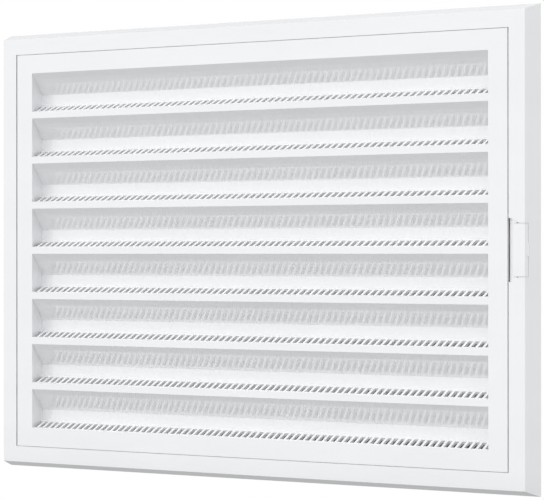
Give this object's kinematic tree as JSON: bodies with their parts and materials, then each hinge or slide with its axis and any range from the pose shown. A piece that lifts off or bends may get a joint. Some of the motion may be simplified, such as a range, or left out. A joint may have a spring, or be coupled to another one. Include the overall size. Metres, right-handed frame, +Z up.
{
  "type": "louvred air grille",
  "caption": "White rectangular louvred air grille: a bevelled frame with a hinged louvre panel, slotted floors, a slide lock and a fly screen.",
  "frame": {"origin": "centre of the four screw holes, on the wall surface", "axes": "+X to the right seen from the room, +Y into the wall, +Z up"},
  "size_m": [0.25, 0.0112, 0.1876],
  "materials": {
    "frame_abs": "smooth glossy white ABS moulding",
    "panel_abs": "smooth glossy white ABS moulding",
    "louvre_abs": "smooth glossy white ABS moulding",
    "slider_abs": "smooth glossy white ABS moulding",
    "cover_abs": "plain white plastic, hidden from the front",
    "carrier_abs": "grey moulded plastic",
    "screen_mesh": "fine grey extruded net",
    "gasket_foam": "closed-cell foam strip",
    "pin_steel": "drawn stainless wire",
    "spring_steel": "thin spring strip",
    "screw_steel": "zinc-plated steel"
  },
  "bodies": {
    "frame": {"mounting_frame": "frame_abs", "wall_gasket": "gasket_foam", "upper_hinge_pin": "pin_steel", "lower_hinge_pin": "pin_steel", "lock_spring": "spring_steel", "lock_cover": "cover_abs", "lock_cover_screws": "screw_steel", "screen_carrier": "carrier_abs", "fly_screen": "screen_mesh"},
    "panel": {"louvre_panel": "panel_abs", "louvre_1": "louvre_abs", "louvre_2": "louvre_abs", "louvre_3": "louvre_abs", "louvre_4": "louvre_abs", "louvre_5": "louvre_abs", "louvre_6": "louvre_abs", "louvre_7": "louvre_abs", "louvre_8": "louvre_abs"},
    "lock": {"lock_slider": "slider_abs"}
  },
  "joints": [
    {"name": "panel_hinge", "type": "hinge", "parent": "frame", "child": "panel", "pos_m": [-0.11357, -0.0077, 0], "axis": [0, 0, -1], "range_deg": [0, 100]},
    {"name": "lock_slide", "type": "slide", "parent": "frame", "child": "lock", "axis": [-1, 0, 0], "range_m": [0, 0.00164]}
  ]
}
